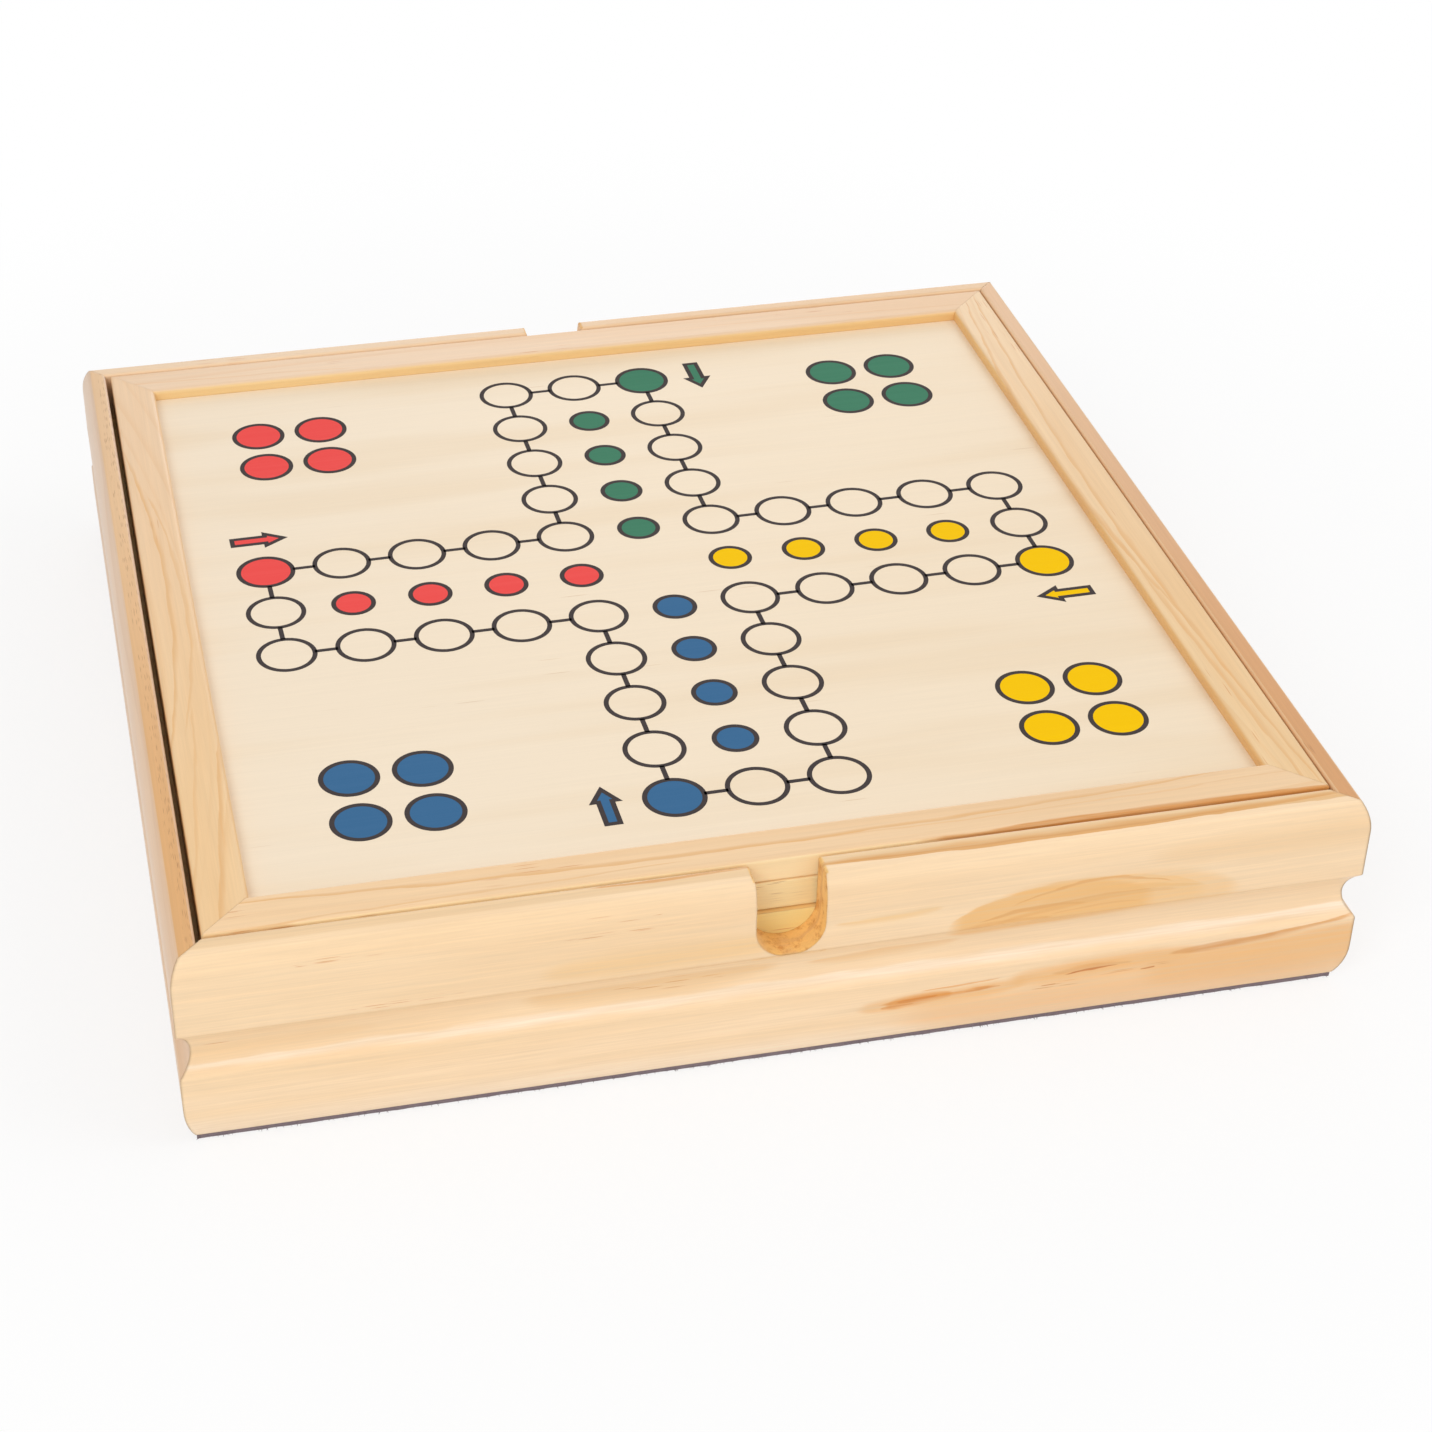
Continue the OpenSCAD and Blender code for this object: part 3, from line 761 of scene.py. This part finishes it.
# %% [markdown]
# ## The printed track
# The ludo track is screen-printed: coloured fields first, then one charcoal outline over all of
# them. Here each ink is a film two hundredths of a millimetre thick, modelled as closed solids,
# so that the print stays sharp at any distance. The track is worked out on a grid of eleven by
# eleven fields, which the print lays a trifle askew on the panel, as on the real board.

# %% Print helpers
FIELD = 20.87 * MM
PRINT_TURN = math.radians(0.78)
PRINT_SHIFT = Vector((1.2, 2.3)) * MM
INK_SUNK = 0.05 * MM
INK_THICK = 0.02 * MM
CIRCLE_STEPS = 96


def on_print(point):
    """A point of the track's grid, laid on the panel."""
    spot = Matrix.Rotation(PRINT_TURN, 2) @ (Vector(point) * FIELD)
    return spot + PRINT_SHIFT


def circle(middle, radius):
    """A round outline on the grid; radius is in metres."""
    turns = [2 * math.pi * i / CIRCLE_STEPS for i in range(CIRCLE_STEPS)]
    reach = radius / FIELD
    return [on_print((middle[0] + reach * math.cos(a), middle[1] + reach * math.sin(a)))
            for a in turns]


def raise_film(mesh, outer, hole, low, high):
    """A closed flat solid inside the outline, with the hole left out; both run the same way."""
    def ring(outline, z):
        return [mesh.verts.new((p.x, p.y, z)) for p in outline]

    def skirt(lower, upper, flip):
        for i in range(len(lower)):
            quad = [lower[i - 1], lower[i], upper[i], upper[i - 1]]
            mesh.faces.new(quad[::-1] if flip else quad)

    foot, top = ring(outer, low), ring(outer, high)
    skirt(foot, top, False)
    if hole:
        foot_in, top_in = ring(hole, low), ring(hole, high)
        skirt(foot_in, top_in, True)
        skirt(top, top_in, False)
        skirt(foot, foot_in, True)
    else:
        mesh.faces.new(top)
        mesh.faces.new(foot[::-1])


def new_piece(name, mesh, material):
    """Turns a finished mesh into an object with that material."""
    data = bpy.data.meshes.new(name)
    mesh.to_mesh(data)
    mesh.free()
    data.materials.append(material)
    piece = bpy.data.objects.new(name, data)
    bpy.context.scene.collection.objects.link(piece)
    return piece


def film_object(name, shapes, top, thick, body, material):
    """One printed ink as a piece: shapes are (outline, hole) pairs on a panel at height top."""
    mesh = bmesh.new()
    for outer, hole in shapes:
        raise_film(mesh, outer, hole, top - INK_SUNK, top + thick)
    bmesh.ops.recalc_face_normals(mesh, faces=mesh.faces)
    piece = new_piece(name, mesh, material)
    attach(piece, body)


print("one field of the track is", round(FIELD / MM, 2), "mm")

# %% [markdown]
# ## Ink
# Screen ink lies on top of the wood, so it hides the grain but follows it a little, and it is
# never quite even. A fine noise thins it here and there, and the panel's own fibres press
# through as a faint relief.

# %% Ink material
def ink(name, colour, thinner):
    """One screen ink: its tone, and the tone where it lies thinner."""
    material, g, shader = new_material(name)
    fibre = g.use(fibre_group, Vector=g.place())
    worn = g.ramp(fibre["Streaks"], 0.35, 0.75)
    g.wire(shader, {
        "Base Color": g.blend(worn, colour, thinner),
        "Roughness": g.sum("MULTIPLY_ADD", fibre["Fibre"], 0.2, 0.45),
        "Normal": g.bump(fibre["Fibre"], 0.2, RELIEF),
        "Specular IOR Level": 0.04})
    return material


ink_tones = {
    "charcoal": ((68, 61, 61), (73, 65, 64)),
    "red": ((241, 82, 79), (242, 86, 83)),
    "green": ((66, 127, 99), (69, 130, 102)),
    "yellow": ((250, 199, 0), (251, 201, 0)),
    "blue": ((60, 107, 149), (63, 109, 151)),
}
inks = {name: ink(f"ink_{name}", *pair) for name, pair in ink_tones.items()}
print("inks:", ", ".join(inks))

# %% [markdown]
# ## Laying out the track
# The cross has forty fields, four home lanes of four and four yards of four. One arm of ten
# fields is described once and turned three times. The arrow beside each start field points in.
# Two of the yards slipped a little on the screen, which is kept.

# %% Track layout
LINE = 1.30 * MM
FIELD_R = 7.37 * MM
LANE_R = 5.35 * MM
YARD_R = 7.0 * MM
YARD_NEAR = 3.75
YARD_FAR = 4.63
YARD_SLIP = {"red": (0.0, -0.03), "blue": (-0.016, -0.03)}
ARROW_SIDE = 1.81
ARROW_TAIL = 5.37
ARROW_TIP = 4.60
ARROW_HEAD = 0.33
SHAFT_HALF = 0.113
HEAD_HALF = 0.203


def turned(point, quarter):
    """The point turned clockwise by that many quarter turns round the board's middle."""
    x, y = point
    for _ in range(quarter):
        x, y = y, -x
    return (x, y)


arm = [(-5 + i, 1) for i in range(5)] + [(-1, 2 + i) for i in range(4)] + [(0, 5)]


def bar(start, end, width):
    """The outline of a straight line between two points of the grid."""
    run = (Vector(end) - Vector(start)).normalized()
    side = Vector((-run.y, run.x)) * (width / FIELD / 2)
    a, b = Vector(start), Vector(end)
    return [on_print(a - side), on_print(b - side), on_print(b + side), on_print(a + side)]


def arrow(inset):
    """The red arrow's seven corners on the grid, drawn in by inset metres all round."""
    d = inset / FIELD
    slant = math.hypot(ARROW_HEAD, HEAD_HALF)
    tip = ARROW_TIP + d * slant / HEAD_HALF
    neck = ARROW_TIP + ARROW_HEAD - d
    spread = (neck - tip) * HEAD_HALF / ARROW_HEAD
    shaft = SHAFT_HALF - d
    tail = ARROW_TAIL - d
    half = [(-tail, -shaft), (-neck, -shaft), (-neck, -spread), (-tip, 0)]
    mirrored = [(x, -y) for x, y in half[2::-1]]
    return [(x, y + ARROW_SIDE) for x, y in half + mirrored]


print("fields in one arm of the track:", len(arm))

# %% [markdown]
# ## Printing the track
# All outlines are gathered in one list and all fields of one colour in another, so that each
# ink becomes a single piece, as it is a single pass on the press.

# %% Print the track
outlines, fills = [], {"red": [], "green": [], "yellow": [], "blue": []}


def printed_circle(middle, radius, colour=None):
    """A charcoal ring on the grid, with its field of colour under it."""
    outlines.append((circle(middle, radius + LINE / 2), circle(middle, radius - LINE / 2)))
    if colour:
        fills[colour].append((circle(middle, radius), None))


for quarter, colour in enumerate(fills):
    path = [turned(p, quarter) for p in arm]
    follow = path + [turned(arm[0], quarter + 1)]
    for i, spot in enumerate(path):
        printed_circle(spot, FIELD_R, colour if i == 0 else None)
        here, there = Vector(follow[i]), Vector(follow[i + 1])
        edge = (there - here).normalized() * (FIELD_R / FIELD)
        outlines.append((bar(here + edge, there - edge, LINE), None))
    for i in range(4):
        printed_circle(turned((-4 + i, 0), quarter), LANE_R, colour)
    slip_x, slip_y = YARD_SLIP.get(colour, (0.0, 0.0))
    for x in (YARD_NEAR, YARD_FAR):
        for y in (YARD_NEAR, YARD_FAR):
            spot = turned((-x, y), quarter)
            printed_circle((spot[0] + slip_x, spot[1] + slip_y), YARD_R, colour)
    rim = [on_print(turned(p, quarter)) for p in arrow(0.0)]
    core = [on_print(turned(p, quarter)) for p in arrow(LINE)]
    outlines.append((rim, core))
    fills[colour].append(([on_print(turned(p, quarter)) for p in arrow(LINE * 0.4)], None))

ludo_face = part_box("ludo_panel")[1].z
film_object("print_outlines", outlines, ludo_face, 1.5 * INK_THICK, "ludo_board",
            inks["charcoal"])
for colour, shapes in fills.items():
    film_object(f"print_{colour}", shapes, ludo_face, INK_THICK, "ludo_board", inks[colour])
print("printed outlines:", len(outlines), "fields of colour:", sum(map(len, fills.values())))

# %% [markdown]
# ## The second board's chequers
# Under the ludo board lies a board for draughts, printed in one brown ink: every other square
# of an eight by eight grid, and a thin line round them all. It shows once the upper board is
# lifted off.

# %% Chequered print
SQUARE = 27 * MM
SQUARE_GAP = 0.04 * MM
BORDER_GAP = 2 * MM
BORDER_LINE = 1.2 * MM
walnut_ink = ink("ink_walnut", (98, 62, 40), (116, 76, 50))
second_low, second_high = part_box("second_panel")
second_mid = (second_low + second_high) / 2


def square_outline(x, y, half):
    """A square outline round a point of the second board, in metres."""
    corners = ((-1, -1), (1, -1), (1, 1), (-1, 1))
    return [Vector((second_mid.x + x + i * half, second_mid.y + y + j * half))
            for i, j in corners]


edge = 4 * SQUARE + BORDER_GAP
chequers = [(square_outline(0, 0, edge + BORDER_LINE), square_outline(0, 0, edge))]
for row in range(8):
    for column in range(row % 2, 8, 2):
        chequers.append((square_outline((column - 3.5) * SQUARE, (row - 3.5) * SQUARE,
                                        SQUARE / 2 - SQUARE_GAP / 2), None))
film_object("print_chequers", chequers, second_high.z, INK_THICK, "second_board", walnut_ink)
print("chequers:", len(chequers) - 1)

# %% [markdown]
# ## Lacquered pawns and ivory dice
# The pawns are turned wood under a thick gloss lacquer. Lacquer is colour under a clear coat,
# with the faint ripple that painters call orange peel. The dice are polished ivory plastic with
# dark paint in their pips. A pip is found by its depth: its points lie nearer to the die's
# middle than both the flat faces and the rounded corners do.

# %% Pawns and dice
DIE = 14 * MM
DIE_BALL = DIE * 1.44 / 2
PIP_EDGE = 0.04 * MM
PIP_INK = (52, 44, 42)
WORN_WOOD = (240, 214, 170)
dice_low, dice_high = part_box("dice")
left_reach = -DIE - dice_low.x
right_reach = dice_high.x - DIE
dice_places = [
    ((-DIE, dice_high.y - left_reach, dice_low.z + DIE / 2), math.radians(24)),
    ((DIE, dice_low.y + right_reach, dice_low.z + DIE / 2), math.radians(-13))]


def die_pips(g, place):
    """A mask for the dents in the dice: they lie deeper than the faces and the rounding."""
    found = 0.0
    for middle, turn in dice_places:
        spot = g.add("Mapping", {"Vector": place, "Location": middle,
                                 "Rotation": (0.0, 0.0, turn)}, vector_type="TEXTURE")
        away = g.add("VectorMath", {0: spot.outputs[0]}, operation="ABSOLUTE").outputs[0]
        sides = g.add("SeparateXYZ", {0: away}).outputs
        reach = g.sum("MAXIMUM", g.sum("MAXIMUM", sides[0], sides[1]), sides[2])
        length = g.add("VectorMath", {0: away}, operation="LENGTH").outputs["Value"]
        deep = g.product(g.ramp(reach, DIE / 2 - PIP_EDGE, DIE / 2 - 3 * PIP_EDGE),
                         g.ramp(length, DIE_BALL - PIP_EDGE, DIE_BALL - 3 * PIP_EDGE))
        found = g.sum("MAXIMUM", found, deep)
    return found


def lacquer(name, colour, deep, marks=None):
    """Gloss lacquer: its tone, its tone where it pools, and a mask for painted marks."""
    material, g, shader = new_material(name)
    place = g.place()
    pool = g.noise(place, 160.0, 2.0)
    edges = g.use(edge_group, Radius=0.5 * MM)
    tinted = g.blend(g.ramp(pool, 0.3, 0.75), colour, deep)
    tinted = g.blend(g.product(edges["Mask"], 0.3), tinted, WORN_WOOD)
    if marks:
        tinted = g.blend(marks(g, place), tinted, PIP_INK)
    g.wire(shader, {
        "Base Color": tinted,
        "Roughness": g.sum("MULTIPLY_ADD", pool, 0.12, 0.16),
        "Normal": g.bump(g.noise(place, 900.0, 1.0), 0.15, 0.2 * MM),
        "Coat Weight": 0.6, "Coat Roughness": 0.06})
    return material


lacquers = {"red": ((218, 56, 56), (196, 40, 42)), "green": ((46, 122, 86), (34, 102, 70)),
            "yellow": ((246, 198, 14), (232, 180, 6)), "blue": ((46, 96, 150), (34, 78, 128))}
for colour, pair in lacquers.items():
    finish_node(f"{colour}_pawns", lacquer(f"lacquer_{colour}", *pair))
finish_node("dice", lacquer("die_ivory", (246, 241, 228), (240, 233, 216), die_pips))
print("pawns and dice finished")

# %% [markdown]
# ## The felt underneath
# A thin grey-brown felt is glued under the box so that it can't scratch a table. Felt is cut
# with scissors, so its edge is a little ragged and small fibres stand out of it. The sheet is a
# slab whose rim is pushed in and out by a wave, with short hairs set all round the rim.

# %% Felt
felt_low, felt_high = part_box("felt_pad")
FELT_HALF = felt_high.x + 0.6 * MM
FELT_STEPS = 180
FELT_RAGGED = 0.3 * MM
TUFTS = 800


def felt_rim(share):
    """A point on the felt's cut edge, share of the way round, and its outward direction."""
    corners = [(-1, -1), (1, -1), (1, 1), (-1, 1)]
    side, along = divmod(share * 4, 1)
    a, b = Vector(corners[int(side) % 4]), Vector(corners[(int(side) + 1) % 4])
    out = Vector(((b - a).y, -(b - a).x)).normalized()
    return a.lerp(b, along) * FELT_HALF, out


def ragged(share):
    """How far the cut wanders inwards there, from 0 to 1; it closes on itself."""
    turn = 2 * math.pi * share
    wave = sum(math.sin(turn * n + n * n) / 5 for n in (37, 61, 103, 167, 211))
    return 0.5 + 0.5 * wave


def add_tuft(mesh, chance):
    """One hair that stands out of the cut edge: a slim three-sided spike."""
    spot, out = felt_rim(chance.random())
    along = Vector((-out.y, out.x))
    root = spot - out * 0.8 * MM
    height = chance.uniform(0.15, 0.7) * MM
    girth = chance.uniform(0.10, 0.28) * MM
    tip = spot + out * chance.uniform(0.2, 0.9) * MM + along * chance.uniform(-0.7, 0.7) * MM
    ring = [mesh.verts.new((root.x + along.x * a, root.y + along.y * a, height + b))
            for a, b in ((-girth, 0.0), (girth, 0.0), (0.0, girth))]
    peak = mesh.verts.new((tip.x, tip.y, chance.uniform(0.05, 0.35) * MM))
    mesh.faces.new(ring)
    for i in range(3):
        mesh.faces.new((ring[i - 1], ring[i], peak))


def build_felt():
    """The felt's mesh: a slab with a ragged rim, and hairs all round it."""
    mesh = bmesh.new()
    steps = 4 * FELT_STEPS
    loops = []
    for z, depth in ((felt_low.z, 1.0), (felt_high.z, 0.4)):
        loop = []
        for i in range(steps):
            spot, out = felt_rim(i / steps)
            spot = spot - out * FELT_RAGGED * depth * ragged(i / steps)
            loop.append(mesh.verts.new((spot.x, spot.y, z)))
        loops.append(loop)
    low, high = loops
    for i in range(steps):
        mesh.faces.new((low[i - 1], low[i], high[i], high[i - 1]))
    mesh.faces.new(high)
    mesh.faces.new(low[::-1])
    chance = random.Random(7)
    for i in range(TUFTS):
        add_tuft(mesh, chance)
    bmesh.ops.recalc_face_normals(mesh, faces=mesh.faces)
    return mesh


print("felt:", round(2 * FELT_HALF / MM, 1), "mm square,", TUFTS, "hairs")

# %% [markdown]
# ## Felt as a material
# Felt is fuzzy: light catches in the standing hairs and gives it a soft sheen at low angles. A
# very fine noise makes the fuzz and a coarser one mottles it.

# %% Felt material and sheet
def felt_material():
    """Grey-brown felt with a mottle and a sheen."""
    material, g, shader = new_material("felt")
    place = g.place()
    fuzz = g.noise(place, 2600.0, 3.0, 0.7)
    mottle = g.ramp(g.noise(place, 260.0, 2.0), 0.3, 0.7)
    fuzzy = g.blend(fuzz, (88, 74, 80), (150, 132, 140))
    g.wire(shader, {
        "Base Color": g.blend(mottle, fuzzy, (130, 113, 119)),
        "Normal": g.bump(fuzz, 0.8, 0.3 * MM),
        "Roughness": 0.95, "Sheen Weight": 0.4, "Sheen Roughness": 0.5})
    return material


felt = new_piece("felt_sheet", build_felt(), felt_material())
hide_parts("felt_pad")
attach(felt, "box")
print("felt:", [round(v / MM, 1) for v in felt.dimensions], "mm")

# %% [markdown]
# ## Floor and backdrop
# The picture is a cut-out on white with a whisper of shadow. The floor and the world look white
# to the eye only; the wood itself is lit by a soft grey sky, so that pale pine keeps its
# colour. A white that comes from more light would bleach it.

# %% Floor and backdrop
WHITE = (255, 255, 255)
FLOOR_GREY = (0.92, 0.92, 0.92, 1.0)
FLOOR_HALF = 3.0
SKY = 0.60


def seen_white(g):
    """1 for rays from the eye or from a reflection, 0 for light on its way to the wood."""
    path = g.add("LightPath").outputs
    return g.sum("MAXIMUM", path["Is Camera Ray"], path["Is Glossy Ray"])


def floor_material():
    """Pale grey that is lifted to white, less so close to the box, where the shadow falls."""
    material, g, shader = new_material("floor")
    g.wire(shader, {"Base Color": FLOOR_GREY, "Roughness": 0.9})
    glow = g.add("Emission", {"Strength": 1.0})
    away = g.add("VectorMath", {0: g.place()}, operation="LENGTH").outputs["Value"]
    lift = g.sum("MULTIPLY_ADD", g.ramp(away, 0.18, 0.42), 0.25, 0.75)
    both = g.add("MixShader", {0: g.product(seen_white(g), lift),
                               1: shader.outputs[0], 2: glow.outputs[0]})
    g.wire(g.tree.nodes["Material Output"], {"Surface": both.outputs[0]})
    return material


def light_world():
    """A soft sky for the wood, and plain white for the eye."""
    world = bpy.data.worlds.new("studio")
    bpy.context.scene.world = world
    world.use_nodes = True
    g = Graph(world.node_tree)
    sky = g.wire(g.tree.nodes["Background"], {"Color": WHITE, "Strength": SKY})
    white = g.add("Background", {"Color": WHITE, "Strength": 1.0})
    both = g.add("MixShader", {0: seen_white(g), 1: sky.outputs[0], 2: white.outputs[0]})
    g.wire(g.tree.nodes["World Output"], {"Surface": both.outputs[0]})


floor_mesh = bmesh.new()
bmesh.ops.create_grid(floor_mesh, x_segments=1, y_segments=1, size=FLOOR_HALF)
floor = new_piece("floor", floor_mesh, floor_material())
light_world()
print("floor", 2 * FLOOR_HALF, "m wide, sky strength", SKY)

# %% [markdown]
# ## Lamps
# Four large soft lamps model the shoulders and the hollow of the moulding: the key from the
# front left, a fill from the right, one above, and a low one behind that keeps the back wall
# from going flat.

# %% Lamps
def soft_lamp(name, place, size, power):
    """A round soft lamp that looks at the middle of the box's foot."""
    data = bpy.data.lights.new(name, "AREA")
    data.shape = "DISK"
    data.size = size
    data.energy = power
    lamp = bpy.data.objects.new(name, data)
    lamp.location = place
    lamp.rotation_euler = (-Vector(place)).to_track_quat("-Z", "Y").to_euler()
    bpy.context.scene.collection.objects.link(lamp)


soft_lamp("key_lamp", (-0.9, -1.1, 1.2), 0.9, 9.5)
soft_lamp("fill_lamp", (1.2, -0.5, 1.3), 1.2, 6.5)
soft_lamp("top_lamp", (0.1, 0.3, 1.5), 1.4, 1.3)
soft_lamp("back_lamp", (0.35, 1.5, 0.42), 0.8, 2.2)
bpy.context.scene.view_settings.view_transform = "Standard"
print("lamps:", len(bpy.data.lights))
